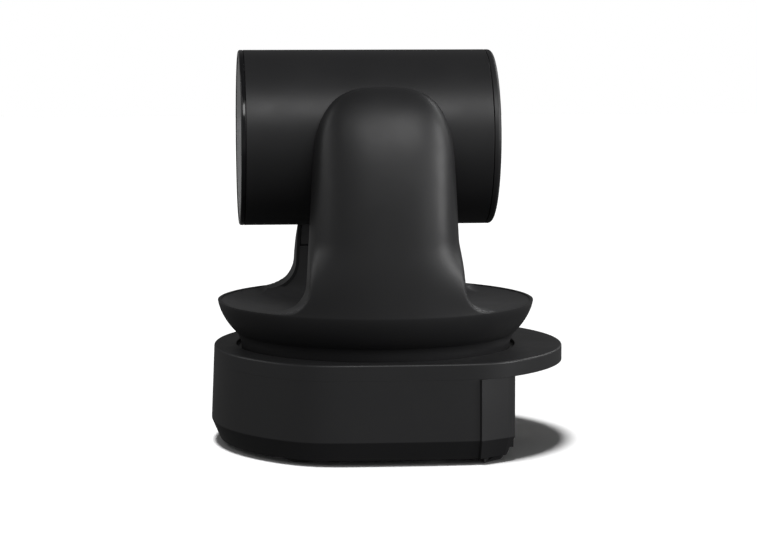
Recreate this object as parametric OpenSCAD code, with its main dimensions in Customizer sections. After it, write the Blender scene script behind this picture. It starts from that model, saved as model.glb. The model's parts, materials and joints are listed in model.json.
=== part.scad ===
// Pan-tilt-zoom conference camera: a base with its connectors, a pan yoke and a tilting camera head.
// Frame: millimetres, +Z up, lens towards -Y. The origin lies on the pan axis at the floor.

/* [Base] */
// Diameter of the round base plate
plate_d = 150; // [148:1:154]
// Distance from the pan axis back to the plate's centre
plate_shift = 5.4; // [5:0.1:6]
// Height of the plate's top face above the floor
plate_top = 42; // [42:0.5:43]
// Thickness of the plate's overhang
plate_t = 6.7; // [6.2:0.1:7]
// Distance from the centre line to each flattened side
side_half = 66.5; // [66:0.5:68]
// Distance from the pan axis back to the connector panel's face
panel_y = 53; // [53:0.5:54]
// Distance from the pan axis back to the seam in each side
seam_y = 37.8; // [36:0.2:39]
// Half width of the base behind the seams
rear_half = 60; // [60:0.2:60.6]
// Wall thickness of the plastic shells
wall = 2.2; // [2:0.1:2.4]
// Height of the rubber feet
foot_h = 2; // [2:0.1:2.2]

/* [Yoke] */
// Radius of the saucer's rim
saucer_r = 67.95; // [67.5:0.1:68.5]
// Height of the saucer's rim
saucer_z = 61; // [60.8:0.1:61.4]
// Distance from the centre line to each arm's inner face
arm_in = 39.6; // [39.5:0.1:40]
// Distance from the centre line to each arm's outermost face
arm_out = 63.6; // [63.5:0.1:65]
// Half width of an arm just above its foot
arm_half = 32; // [31.5:0.1:33]
// Height of the arms' tops
arm_top = 153.8; // [153.5:0.1:155]

/* [Head] */
// Radius of the round head
head_r = 37.3; // [37:0.1:37.5]
// Height of the tilt axis
tilt_z = 130.6; // [130:0.1:131]
// Distance from the tilt axis forward to the front bezel
head_front = 58.7; // [58:0.1:59]
// Distance from the tilt axis back to the rear cap's face
head_back = 49.7; // [49:0.1:50]

/* [Drives] */
// Radius of the large pan pulley under its belt
pan_pulley_r = 24.5; // [24:0.1:25]
// Radius of the pan motor's pulley under its belt
pan_motor_pulley_r = 4.9; // [4.8:0.1:5]
// Radius of the large tilt pulley under its belt
tilt_pulley_r = 13.5; // [13:0.1:14]
// Radius of the tilt motor's pulley under its belt
tilt_motor_pulley_r = 4.5; // [4.4:0.1:4.6]
// Thickness of the drive belts
belt_t = 1; // [0.8:0.1:1.2]

/* [Fastenings] */
// Radius of the tripod socket's thread
tripod_r = 2.6; // [2.5:0.05:2.7]
// Radius of the four tapped mounting holes
tapped_r = 1.25; // [1.2:0.05:1.3]
// Distance across the mounting holes
tapped_dx = 80; // [78:1:82]
// Distance between the front and rear mounting holes
tapped_dy = 40; // [38:1:42]

/* [Hidden] */

$fn = 96;
far = 200;
plate_r = plate_d / 2;
plate_bottom = plate_top - plate_t;
// The base's side leans out to the flare line and turns in below it
flare_z = foot_h + 8;
flare_out = 1.3;
flare_in = 2.1;
rear_chamfer = 3;
edge_r = 0.8;
// The raised collar around the pan joint, and the neck of the yoke above it
collar_r = 60;
collar_z = plate_top + 1.5;
neck_r = 59.2;
neck_z = collar_z + 0.5;
bowl_floor = neck_z + 2.5;
pocket_r = 52;
pocket_z = plate_top - 2.8;
// Steel bottom plate, the bosses above it and its screws
bottom_t = 2;
bottom_z = foot_h + bottom_t;
boss_r = 3.5;
boss_places = [[58, 20], [-58, 20], [42, -44], [-42, -44]];
foot_r = 7;
foot_places = [[48, -34], [-48, -34], [50, 42], [-50, 42]];
standoff_places = [[46, 43], [-46, 43], [46, -3], [-46, -3]];
tapped_y = 8;
tapped_places = [for (sx = [-1, 1], sy = [-1, 1]) [sx * tapped_dx / 2, tapped_y + sy * tapped_dy / 2]];
insert_r = 7;
insert_z = 0.8;
insert_top = 10;
// Circuit boards and the rows of connectors on the panel
pcb_t = 1.6;
main_z = 8;
main_top = main_z + pcb_t;
io_y = 37;
socket_y = io_y + pcb_t;
panel_t = 2.2;
panel_in = panel_y - panel_t;
panel_half = 54.8;
panel_z0 = 5;
upper_z = 28.8;
lug_gap = 0.15;
// Connectors: centre across, height of the body's foot, width, height
dc_at = [43, main_top, 9, 11];
serial_at = [[28, main_top, 14, 13], [12, main_top, 14, 13]];
lan_at = [-6.5, main_top, 16, 13.5];
usb_at = [-24, main_top, 14.4, 7];
hdmi_at = [-42, main_top, 17, 7.5];
rs485_at = [42, upper_z - 4, 9.4, 8];
audio_at = [26, upper_z - 3.5, 8, 7];
sdi_x = -40;
sdi_z = 26.4;
sdi_r = 4.8;
sdi_out = 11;
audio_r = 1.8;
dial_x = 4;
dial_r = 4.4;
// Address switch under the base
dip_x = 26;
dip_y = -36;
dip_pitch = 3.2;
// Pan drive
hub_r = 18;
hub_in = 13;
hub_z = 24.5;
flange_r = 28;
flange_z = bowl_floor + 2;
bearing_r = 22;
run_gap = 0.05;
// Room for the belt's straight facets around the round pulleys
belt_slack = 0.3;
pan_bearing_z = 33.5;
pan_motor_at = [-30, -26];
pan_motor_r = 15;
pan_motor_z = 7;
pan_motor_top = 22;
bracket_t = 1.4;
pan_belt_z = 26.4;
pan_belt_w = 3.8;
pan_flange = 1.2;
tilt_flange = 0.6;
pan_angle = atan2(pan_motor_at[1], pan_motor_at[0]);
pan_span = norm(pan_motor_at);
// Tilt drive, in the arm on the -X side
upright_x = 43;
upright_t = 2;
tilt_motor_z = 90;
tilt_motor_r = 12.5;
tilt_belt_x = 46.6;
tilt_belt_w = 2.8;
tilt_span = tilt_z - tilt_motor_z;
shaft_r = 6;
shaft_gap = 0.02;
spindle_r = 1.5;
// Head
head_wall = 2.3;
cap_seam = head_back - 3.1;
bezel_y = head_front - 2;
glass_r = 34.6;
boss_x = 38.6;
rod_r = 1;
rod_at = 15.5;
lens_cell_r = 13;
lens_bore_r = 18;
lens_block_half = 22;
zoom_y = -30;
focus_y = 2;

// ---- shapes that several pieces share ----

function base_edge(half, inset) = [
    [half - flare_in - inset, foot_h],
    [half + flare_out - inset, flare_z],
    [half - inset, plate_top]
];

function both_sides(points) = concat(
    points,
    [for (i = [len(points) - 1:-1:0]) [-points[i][0], points[i][1]]]
);

// Turns the drawing plane's (x, y) into (x, z) and extrudes it along Y
module along_y(length) {
    rotate([90, 0, 0]) linear_extrude(length, center = true) children();
}

// Turns the drawing plane's (x, y) into (y, z) and extrudes it along X from x0 to x1
module along_x(x0, x1) {
    translate([x0, 0, 0]) rotate([90, 0, 90]) linear_extrude(x1 - x0) children();
}

// A cylinder along X from x0 to x1, on the line through (y, z)
module rod_x(r, x0, x1, y, z) {
    translate([min(x0, x1), y, z]) rotate([0, 90, 0]) cylinder(r = r, h = abs(x1 - x0));
}

// A cylinder along Y from y0 to y1, on the line through (x, z)
module rod_y(r, y0, y1, x, z) {
    translate([x, y0, z]) rotate([-90, 0, 0]) cylinder(r = r, h = y1 - y0);
}

// A profile of (radius, y) points turned about the head's own axis
module turned_head() {
    translate([0, 0, tilt_z]) rotate([-90, 0, 0]) rotate_extrude() children();
}

module box(low, high) {
    translate(low) cube(high - low);
}

module base_front_form(inset) {
    intersection() {
        translate([0, plate_shift, 0])
            rotate_extrude($fn = 180)
                polygon(concat([[0, foot_h]], base_edge(plate_r, inset), [[0, plate_top]]));
        along_y(2 * far) polygon(both_sides(base_edge(side_half, inset)));
        box([-far, -far, 0], [far, seam_y - inset, far]);
    }
}

module base_rear_form(inset) {
    half = rear_half - inset;
    back = panel_y - inset;
    corner = rear_chamfer - inset * (2 - sqrt(2));
    intersection() {
        linear_extrude(plate_top) polygon([
            [-half, 0], [half, 0], [half, back - corner], [half - corner, back],
            [corner - half, back], [-half, back - corner]
        ]);
        along_y(2 * far) polygon(both_sides([
            [half - flare_in - flare_out, foot_h], [half, flare_z], [half, plate_top]
        ]));
        along_x(-far, far) polygon([
            [-far, foot_h], [panel_y - inset - flare_in - flare_out, foot_h],
            [panel_y - inset, flare_z], [panel_y - inset, plate_top], [-far, plate_top]
        ]);
    }
}

module base_form(inset) {
    base_front_form(inset);
    base_rear_form(inset);
}

module at_places(places) {
    for (p = places) translate([p[0], p[1], 0]) children();
}

// The line around a pulley at the origin and one at (span, 0)
module belt_2d(r0, r1, span, lean) {
    polygon(concat(
        [for (i = [0:24]) let (a = lean + (360 - 2 * lean) * i / 24) r0 * [cos(a), sin(a)]],
        [for (i = [0:12]) let (a = lean * (i / 6 - 1)) [span, 0] + r1 * [cos(a), sin(a)]]
    ));
}

module belt(r0, r1, span, width) {
    lean = acos((r0 - r1) / span);
    linear_extrude(width) difference() {
        belt_2d(r0 + belt_t, r1 + belt_t, span, lean);
        belt_2d(r0 + belt_slack, r1 + belt_slack, span, lean);
    }
}

// A pulley on +Z with a flange at each end of its belt track
module pulley(r, width, bore_r, flange) {
    rise = belt_t + 0.5;
    difference() {
        union() {
            cylinder(r = r, h = width);
            translate([0, 0, -flange]) cylinder(r = r + rise, h = flange);
            translate([0, 0, width]) cylinder(r = r + rise, h = flange);
        }
        translate([0, 0, -5]) cylinder(r = bore_r, h = width + 10);
    }
}

// ---- base ----

module front_window(gap) {
    box([gap - 16, -far, 17 + gap], [16 - gap, 0, 29 - gap]);
}

module base_wall() {
    color([0.13, 0.13, 0.14]) difference() {
        intersection() {
            base_form(0);
            box([-far, -far, foot_h], [far, far, plate_bottom]);
        }
        difference() {
            base_form(wall);
            box([-far, seam_y - 2 * wall, 0], [-rear_half + wall, far, plate_bottom]);
            box([rear_half - wall, seam_y - 2 * wall, 0], [far, far, plate_bottom]);
        }
        intersection() {
            base_form(wall);
            box([-far, -far, 0], [far, far, flare_z]);
        }
        box([-panel_half, panel_in - 2, panel_z0], [panel_half, far, far]);
        front_window(0);
    }
}

module base_top_cover() {
    color([0.15, 0.15, 0.16]) difference() {
        union() {
            intersection() {
                translate([0, plate_shift, 0]) rotate_extrude($fn = 180) polygon([
                    [0, plate_bottom], [plate_r, plate_bottom], [plate_r, plate_top - edge_r],
                    [plate_r - edge_r, plate_top], [0, plate_top]
                ]);
                along_y(2 * far) polygon(both_sides([
                    [side_half, plate_bottom], [side_half, plate_top - edge_r],
                    [side_half - edge_r, plate_top]
                ]));
            }
            cylinder(r = collar_r, h = collar_z);
            at_places(boss_places) translate([0, 0, bottom_z]) cylinder(r = boss_r, h = plate_bottom);
        }
        difference() {
            translate([0, -2, -1]) cylinder(r = pocket_r, h = pocket_z + 1);
            translate([0, 0, pan_bearing_z - 0.7]) cylinder(r = bearing_r + 3, h = 20);
            at_places(boss_places) translate([0, 0, bottom_z]) cylinder(r = boss_r, h = plate_bottom);
        }
        difference() {
            box([-far, -far, -1], [far, far, plate_bottom]);
            translate([0, 0, pan_bearing_z - 0.7]) cylinder(r = bearing_r + 3, h = 20);
            at_places(boss_places) translate([0, 0, bottom_z]) cylinder(r = boss_r, h = plate_bottom);
        }
        translate([0, 0, pan_bearing_z - 2]) cylinder(r = bearing_r, h = 9.5);
        cylinder(r = hub_r + 0.8, h = far);
        at_places(boss_places) cylinder(r = 1.2, h = 16);
    }
}

module bottom_plate() {
    color([0.35, 0.36, 0.38]) difference() {
        union() {
            intersection() {
                base_form(wall + 0.2);
                box([-far, -far, foot_h], [far, far, bottom_z]);
            }
            at_places(tapped_places) translate([0, 0, foot_h]) cylinder(r = 3, h = 4.4);
            at_places(standoff_places) cylinder_from(2.5, foot_h, main_z);
        }
        translate([0, 0, -1]) cylinder(r = insert_r + 0.05, h = 20);
        at_places(tapped_places) cylinder(r = tapped_r, h = 20);
        at_places(boss_places) cylinder(r = 1.5, h = 20);
        at_places(boss_places) cylinder(r = 3.1, h = foot_h + 1.2);
        box([dip_x - 6, dip_y - 4.5, 0], [dip_x + 6, dip_y + 4.5, 20]);
    }
}

module tripod_insert() {
    color([0.72, 0.60, 0.32]) difference() {
        union() {
            translate([0, 0, insert_z]) cylinder(r = insert_r, h = insert_top - insert_z);
            translate([0, 0, bottom_z]) cylinder(r = insert_r + 3, h = 2);
        }
        cylinder_from(tripod_r, 0, insert_top - 1);
    }
}

module rubber_feet() {
    color([0.08, 0.08, 0.08]) at_places(foot_places)
        rotate_extrude() polygon([[0, 0], [foot_r - 0.6, 0], [foot_r, 0.6], [foot_r, foot_h], [0, foot_h]]);
}

module base_screws() {
    color([0.55, 0.56, 0.58]) at_places(boss_places) difference() {
        union() {
            translate([0, 0, foot_h + 0.2]) cylinder(r = 2.8, h = 1);
            cylinder_from(1.2, foot_h + 1.2, 14);
        }
        for (a = [0, 90]) rotate(a) box([-1.8, -0.3, 0], [1.8, 0.3, foot_h + 0.8]);
    }
}

module cylinder_from(r, z0, z1) {
    translate([0, 0, z0]) cylinder(r = r, h = z1 - z0);
}

// The through opening that a connector's body needs in the panel
module panel_cut(at) {
    box([at[0] - at[2] / 2 - lug_gap, panel_in - 1, at[1] - lug_gap],
        [at[0] + at[2] / 2 + lug_gap, panel_y + 1, at[1] + at[3] + lug_gap]);
}

module rear_panel() {
    color([0.12, 0.12, 0.13]) difference() {
        box([-panel_half + 0.1, panel_in, panel_z0 + 0.1],
            [panel_half - 0.1, panel_y - 0.3, plate_bottom - 0.1]);
        panel_cut(dc_at);
        for (at = serial_at) panel_cut(at);
        panel_cut(lan_at);
        panel_cut(usb_at);
        panel_cut(hdmi_at);
        panel_cut(rs485_at);
        rod_y(audio_r + 1.4, panel_in - 1, panel_y + 1, audio_at[0], upper_z);
        rod_y(sdi_r + 1.2, panel_in - 1, panel_y + 1, sdi_x, sdi_z);
        rod_y(dial_r + 0.3, panel_in - 1, panel_y + 1, dial_x, upper_z);
        for (sx = [-1, 1]) rod_y(1.6, panel_in - 1, panel_y + 1, sx * 51.4, 31);
    }
}

module chip(x, y, dx, dy, h) {
    box([x, y, main_top], [x + dx, y + dy, main_top + h]);
}

module main_board() {
    color([0.08, 0.30, 0.18]) difference() {
        union() {
            box([-50, -7, main_z], [50, 48, main_top]);
            chip(-12, 10, 24, 24, 1.6);
            chip(18, 6, 12, 14, 1.2);
            chip(18, 23, 12, 8, 1.2);
            chip(-32, 4, 14, 10, 1.2);
            chip(-42, 22, 10, 10, 5);
            for (i = [0:2]) translate([37 + 5.5 * i, 0, main_top]) cylinder(r = 2.4, h = 7);
            for (i = [0:4]) box([-9.4 + 4.2 * i, 12, main_top + 1.6], [-7.4 + 4.2 * i, 32, main_top + 6]);
        }
        at_places(standoff_places) cylinder(r = 1.3, h = 20);
        cylinder(r = insert_r + 1, h = 20);
        box([-insert_r - 1, -10, 0], [insert_r + 1, 0, 20]);
    }
}

module io_board() {
    color([0.08, 0.30, 0.18]) box([-50, io_y, 23.8], [49, socket_y, 34.4]);
}

// A boxed socket on the panel: at = [centre, foot, width, height], open = [width, height, depth]
module socket(at, open, front = 0) {
    z_mid = at[1] + at[3] / 2;
    difference() {
        box([at[0] - at[2] / 2, socket_y, at[1]], [at[0] + at[2] / 2, panel_y + front, at[1] + at[3]]);
        box([at[0] - open[0] / 2, panel_y + front - open[2], z_mid - open[1] / 2],
            [at[0] + open[0] / 2, panel_y + front + 1, z_mid + open[1] / 2]);
    }
}

module dc_jack() {
    z_mid = dc_at[1] + dc_at[3] / 2;
    color([0.07, 0.07, 0.07]) {
        difference() {
            socket(dc_at, [0.01, 0.01, 0]);
            rod_y(3.1, panel_y - 9.5, panel_y + 2, dc_at[0], z_mid);
        }
        rod_y(1.05, panel_y - 10, panel_y - 1.2, dc_at[0], z_mid);
    }
}

module lan_port() {
    z_mid = lan_at[1] + lan_at[3] / 2;
    color([0.70, 0.71, 0.73]) {
        socket(lan_at, [11.8, 8.2, 12]);
        for (i = [0:7])
            box([lan_at[0] - 3.9 + 1.02 * i, panel_y - 11.5, z_mid + 2.6],
                [lan_at[0] - 3.3 + 1.02 * i, panel_y - 4, z_mid + 4.2]);
    }
}

module usb_port() {
    z_mid = usb_at[1] + usb_at[3] / 2;
    color([0.70, 0.71, 0.73]) {
        socket(usb_at, [12.6, 5.2, 11], 0.4);
        box([usb_at[0] - 5.6, panel_y - 11, z_mid + 0.1], [usb_at[0] + 5.6, panel_y - 1, z_mid + 1.9]);
    }
}

module hdmi_port() {
    z_mid = hdmi_at[1] + hdmi_at[3] / 2;
    color([0.70, 0.71, 0.73]) {
        socket(hdmi_at, [14.4, 5.4, 10], 0.4);
        box([hdmi_at[0] - 5.5, panel_y - 10, z_mid + 0.2], [hdmi_at[0] + 5.5, panel_y - 1.5, z_mid + 1.1]);
    }
}

module serial_ports() {
    color([0.07, 0.07, 0.07]) for (at = serial_at) {
        z_mid = at[1] + at[3] / 2;
        difference() {
            socket(at, [0.01, 0.01, 0]);
            rod_y(4.6, panel_y - 7, panel_y + 1, at[0], z_mid);
            for (a = [0:51.4:330])
                rod_y(0.5, panel_y - 11, panel_y - 6, at[0] + 3 * sin(a), z_mid + 3 * cos(a));
        }
    }
}

module rs485_terminal() {
    z_mid = rs485_at[1] + rs485_at[3] / 2;
    color([0.15, 0.45, 0.22]) difference() {
        socket(rs485_at, [7.8, 6.4, 7]);
        for (x = [rs485_at[0] - 2.6, rs485_at[0] + 0.8])
            box([x, 42, z_mid - 1], [x + 1.8, 47, z_mid + 1]);
    }
}

module audio_jack() {
    color([0.30, 0.31, 0.33]) difference() {
        union() {
            box([audio_at[0] - 4, socket_y, audio_at[1]],
                [audio_at[0] + 4, panel_in - 0.1, audio_at[1] + audio_at[3]]);
            rod_y(audio_r + 1.2, panel_in - 1, panel_y, audio_at[0], upper_z);
        }
        rod_y(audio_r, panel_y - 12, panel_y + 1, audio_at[0], upper_z);
    }
}

module sdi_connector() {
    color([0.78, 0.76, 0.70]) {
        difference() {
            union() {
                box([sdi_x - 6.5, socket_y, sdi_z - 5.6], [sdi_x + 6.5, panel_in - 0.1, sdi_z + 5.6]);
                rod_y(sdi_r, panel_in - 1, panel_y + sdi_out, sdi_x, sdi_z);
                rod_x(1, sdi_x - 5.8, sdi_x + 5.8, panel_y + sdi_out - 3.4, sdi_z);
            }
            rod_y(4.1, panel_y, panel_y + sdi_out + 1, sdi_x, sdi_z);
        }
        difference() {
            rod_y(2.4, panel_y - 1, panel_y + sdi_out - 2, sdi_x, sdi_z);
            rod_y(0.7, panel_y + 2, panel_y + sdi_out, sdi_x, sdi_z);
        }
    }
}

module address_dial() {
    color([0.85, 0.85, 0.82]) difference() {
        union() {
            rod_y(dial_r, panel_in - 0.5, panel_y - 0.2, dial_x, upper_z);
            rod_y(2, socket_y + 1.2, panel_in, dial_x, upper_z);
        }
        box([dial_x - 0.5, panel_y - 1.4, upper_z - 3.4], [dial_x + 0.5, panel_y + 1, upper_z + 3.4]);
        box([dial_x - 1, panel_y - 1.4, upper_z + 1.8], [dial_x + 1, panel_y + 1, upper_z + 3.4]);
    }
}

module ir_window() {
    color([0.20, 0.03, 0.05]) intersection() {
        difference() {
            base_form(0.15);
            base_form(wall);
        }
        front_window(0.12);
    }
}

module dip_block() {
    color([0.60, 0.10, 0.10]) difference() {
        union() {
            box([dip_x - 5, dip_y - 3.6, foot_h + 0.6], [dip_x + 5, dip_y + 3.6, 7.6]);
            box([dip_x - 11, dip_y - 8, 7.6], [dip_x + 11, dip_y + 8, 9]);
            for (sx = [-1, 1]) translate([dip_x + sx * 9, dip_y, bottom_z]) cylinder(r = 1.6, h = 4);
        }
        for (x = [dip_x - dip_pitch / 2, dip_x + dip_pitch / 2])
            box([x - 0.9, dip_y - 2.2, 0], [x + 0.9, dip_y + 2.2, foot_h + 2.2]);
    }
}

module dip_slider(i) {
    x = dip_x + i * dip_pitch;
    color([0.92, 0.92, 0.90]) {
        box([x - 0.8, dip_y - 2.1, foot_h + 0.9], [x + 0.8, dip_y - 0.1, foot_h + 2.1]);
        box([x - 0.5, dip_y - 1.7, foot_h + 0.3], [x + 0.5, dip_y - 0.5, foot_h + 1]);
    }
}

module dip_slider_1() {
    dip_slider(-0.5);
}

module dip_slider_2() {
    dip_slider(0.5);
}

// ---- pan drive ----

module ball_ring(r_in, r_out, z0, z1) {
    mid = (r_in + r_out) / 2;
    rotate_extrude() polygon([
        [r_in, z0], [mid - 0.5, z0], [mid - 0.5, z0 + 0.5],
        [mid + 0.5, z0 + 0.5], [mid + 0.5, z0], [r_out, z0],
        [r_out, z1], [mid + 0.5, z1], [mid + 0.5, z1 - 0.5],
        [mid - 0.5, z1 - 0.5], [mid - 0.5, z1], [r_in, z1]
    ]);
}

module pan_bearing() {
    color([0.75, 0.76, 0.78]) ball_ring(hub_r + run_gap, bearing_r, pan_bearing_z, pan_bearing_z + 7);
}

module pan_motor() {
    color([0.50, 0.51, 0.53]) translate([pan_motor_at[0], pan_motor_at[1], 0]) difference() {
        union() {
            cylinder_from(pan_motor_r, pan_motor_z, pan_motor_top - 1);
            cylinder_from(pan_motor_r - 1.5, pan_motor_top - 1, pan_motor_top);
            cylinder_from(4, pan_motor_top - 1, pan_motor_top + bracket_t);
            rotate(pan_angle) box([0, -6, pan_motor_z], [pan_motor_r + 2, 6, pan_motor_top - 5]);
        }
        cylinder_from(spindle_r + run_gap, pan_motor_top - 6, far);
    }
}

module pan_motor_bracket() {
    reach = pan_span + 3.5;
    color([0.62, 0.63, 0.65]) rotate(pan_angle) difference() {
        union() {
            box([pan_span - 12, -17, pan_motor_top], [pan_span + 9, 17, pan_motor_top + bracket_t]);
            for (sy = [-1, 1]) translate([reach, sy * 13, 0]) cylinder_from(3, pan_motor_top, pocket_z);
        }
        translate([pan_span, 0, 0]) cylinder_from(4.05, 0, pan_motor_top + 5);
    }
}

module pan_motor_pulley() {
    color([0.80, 0.78, 0.70]) translate([pan_motor_at[0], pan_motor_at[1], 0]) {
        translate([0, 0, pan_belt_z]) pulley(pan_motor_pulley_r, pan_belt_w, spindle_r, pan_flange);
        cylinder_from(spindle_r, pan_motor_top - 5.5, pan_belt_z + pan_belt_w + 2);
    }
}

module pan_belt() {
    color([0.05, 0.05, 0.05]) translate([0, 0, pan_belt_z + 0.2]) rotate(pan_angle)
        belt(pan_pulley_r, pan_motor_pulley_r, pan_span, pan_belt_w - 0.4);
}

module pan_sensor() {
    color([0.10, 0.10, 0.12]) difference() {
        box([-3.5, 28.5, 29], [3.5, 36.8, pocket_z]);
        box([-4, 28, 31.2], [4, 35, 33.4]);
    }
}

module pan_hub() {
    color([0.66, 0.67, 0.69]) difference() {
        union() {
            cylinder_from(hub_r, hub_z, bowl_floor + 1);
            cylinder_from(flange_r, bowl_floor, flange_z);
        }
        cylinder_from(hub_in, 0, far);
        for (a = [45:90:315]) rotate(a) translate([22.6, 0, 0]) cylinder_from(1.5, 0, far);
    }
}

module pan_pulley() {
    color([0.80, 0.78, 0.70]) {
        translate([0, 0, pan_belt_z]) pulley(pan_pulley_r, pan_belt_w, hub_r + shaft_gap, pan_flange);
        difference() {
            box([-2.5, 22, pan_belt_z + pan_belt_w], [2.5, 27, 32.6]);
            box([-3, 24.8, 0], [3, far, 31.9]);
        }
        box([-2.5, 24, 31.9], [2.5, 33.5, 32.6]);
    }
}

// ---- yoke ----

// The bowl's side from the neck to the rim, as a cubic curve
bowl_ctrl = [
    [neck_r + 0.4, bowl_floor + 0.5], [62.8, 49.6], [saucer_r - 0.95, 55.2], [saucer_r, saucer_z - 0.2]
];

function cubic(c, t) = pow(1 - t, 3) * c[0] + 3 * pow(1 - t, 2) * t * c[1]
    + 3 * (1 - t) * pow(t, 2) * c[2] + pow(t, 3) * c[3];

function bowl_side(inset) = [for (i = [0:10]) cubic(bowl_ctrl, i / 10) - [inset, 0]];

// Half width of an arm at height z: leaning sides under a rounded top
arm_lean = 0.053;
arm_round_z = 118;
arm_round_n = 3;
foot_round = 12;

function arm_side(z) = arm_half - arm_lean * (z - saucer_z - foot_round - 2);

function arm_width(z) = let (t = max(0, z - arm_round_z) / (arm_top - arm_round_z))
    arm_side(z) * pow(max(0, 1 - pow(t, arm_round_n)), 1 / arm_round_n);

// Half of an arm's side view, from its foot up to its top
function arm_outline(inset) =
    let (foot = saucer_z + foot_round, wide = arm_side(foot) + foot_round, turn = arm_top - arm_round_z)
    concat(
        [[wide - inset, saucer_z - 8], [wide - inset, saucer_z]],
        [for (a = [80:-10:0]) [wide - foot_round * cos(a) - inset, foot - foot_round * sin(a)]],
        [for (z = [foot + 15:15:arm_round_z - 4]) [arm_side(z) - inset, z]],
        [for (a = [0, 15, 30, 42, 52, 61, 69, 76, 82, 87]) let (z = arm_round_z + turn * sin(a))
            [arm_width(z) - inset, z - inset * sin(a)]]
    );

// An arm's section seen from above, a half oval that bulges outwards
arm_oval_n = 2.6;
arm_reach = saucer_r + 0.3;

function oval(t, n) = sign(t) * pow(abs(t), 2 / n);

function arm_plan(half, inset) = concat(
    [[arm_in - 1, inset - half]],
    [for (a = [-90:7.5:90]) [
        arm_in + (arm_reach - arm_in - inset) * oval(cos(a), arm_oval_n),
        (half - inset) * oval(sin(a), arm_oval_n)
    ]],
    [[arm_in - 1, half - inset]]
);

// The bowl's inside or outside, carried straight up above its rim
module bowl_column(inset) {
    rotate_extrude($fn = 180) polygon(concat(
        [[0, inset > 0 ? bowl_floor : neck_z], [neck_r - inset, inset > 0 ? bowl_floor : neck_z]],
        bowl_side(inset), [[saucer_r - inset, saucer_z], [saucer_r - inset, far], [0, far]]
    ));
}

// An arm seen from the front: its outer face leaves the rim, leans in and rounds over at the top
arm_front_z = 91;
arm_front_n = 2.2;

function arm_front(inset) = concat(
    [[arm_in - 1, saucer_z - 8], [saucer_r - inset, saucer_z - 8]],
    [for (t = [0:5]) [
        arm_out + (saucer_r - arm_out) * pow(1 - t / 6, 2) - inset,
        saucer_z + (arm_front_z - saucer_z) * t / 6
    ]],
    [for (a = [0:6:90]) [
        arm_in + (arm_out - arm_in - inset) * oval(cos(a), arm_front_n),
        arm_front_z + (arm_top - arm_front_z - inset) * oval(sin(a), arm_front_n)
    ]],
    [[arm_in - 1, arm_top - inset]]
);

module arm_form(inset) {
    intersection() {
        along_x(arm_in - 1, saucer_r + 1) polygon(both_sides(arm_outline(inset)));
        along_y(2 * far) polygon(arm_front(inset));
        bowl_column(inset);
        union() {
            linear_extrude(far) polygon(arm_plan(arm_half + 0.4, inset));
            linear_extrude(saucer_z + foot_round) polygon(arm_plan(arm_half + foot_round, inset));
        }
    }
}

module arm_half_space(x0) {
    box([x0, -far, 0], [far, far, far]);
}

module both_arms() {
    for (m = [0, 1]) mirror([m, 0, 0]) children();
}

dish_r = saucer_r - 1.1;
dish_floor = 56.5;
dish_t = 2;

// The dish's top face from its centre to its rim
dish_line = [
    [0, dish_floor], [48, dish_floor], [56, dish_floor + 0.9], [62, dish_floor + 2.4], [dish_r, saucer_z]
];

module dish_space() {
    rotate_extrude($fn = 180)
        polygon(concat([for (p = dish_line) p - [0, dish_t]], [[dish_r, far], [0, far]]));
}

module yoke_shell() {
    color([0.14, 0.14, 0.15]) difference() {
        union() {
            difference() {
                rotate_extrude($fn = 180) polygon(concat(
                    [[0, neck_z], [neck_r, neck_z], [neck_r, bowl_floor]], bowl_side(0),
                    [[saucer_r, saucer_z], [0, saucer_z]]
                ));
                rotate_extrude($fn = 180) polygon(concat(
                    [[0, bowl_floor], [neck_r - wall, bowl_floor]], bowl_side(wall), [[0, saucer_z - 0.2]]
                ));
                dish_space();
            }
            both_arms() intersection() {
                arm_form(0);
                arm_half_space(arm_in);
            }
        }
        both_arms() arm_form(wall);
        cylinder_from(hub_r + 0.1, 0, far);
        for (a = [45:90:315]) rotate(a) translate([22.6, 0, 0]) cylinder_from(1.25, 0, far);
    }
}

cover_t = 1.8;
cover_seam_z = 80;
cover_gap = 0.1;
dish_under = dish_floor - dish_t + cover_gap;

// The saucer's top sheet, drawn in from the shell all round by the gap
dish_sheet = concat(
    [for (p = dish_line) [max(p[0] - cover_gap, 0), p[1]]],
    [for (i = [len(dish_line) - 1:-1:0]) let (p = dish_line[i])
        [max(p[0] - cover_gap, 0), p[1] - dish_t + cover_gap]]
);

module saucer_cover() {
    color([0.16, 0.16, 0.17]) {
        difference() {
            rotate_extrude($fn = 180) polygon(dish_sheet);
            both_arms() intersection() {
                arm_form(-cover_gap);
                arm_half_space(arm_in);
            }
        }
        both_arms() intersection() {
            arm_form(wall + cover_gap);
            union() {
                box([arm_in, -far, dish_under], [arm_in + cover_t, far, cover_seam_z - cover_gap]);
                box([arm_in - 0.8, -far, dish_under], [arm_in + 0.5, far, dish_floor - 0.2]);
            }
        }
    }
}

module arm_cover() {
    difference() {
        intersection() {
            arm_form(wall + cover_gap);
            box([arm_in, -far, cover_seam_z], [arm_in + cover_t, far, far]);
        }
        rod_x(12, 0, far, 0, tilt_z);
    }
}

module arm_cover_left() {
    color([0.12, 0.12, 0.12]) mirror([1, 0, 0]) arm_cover();
}

module arm_cover_right() {
    color([0.12, 0.12, 0.12]) arm_cover();
}

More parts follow.
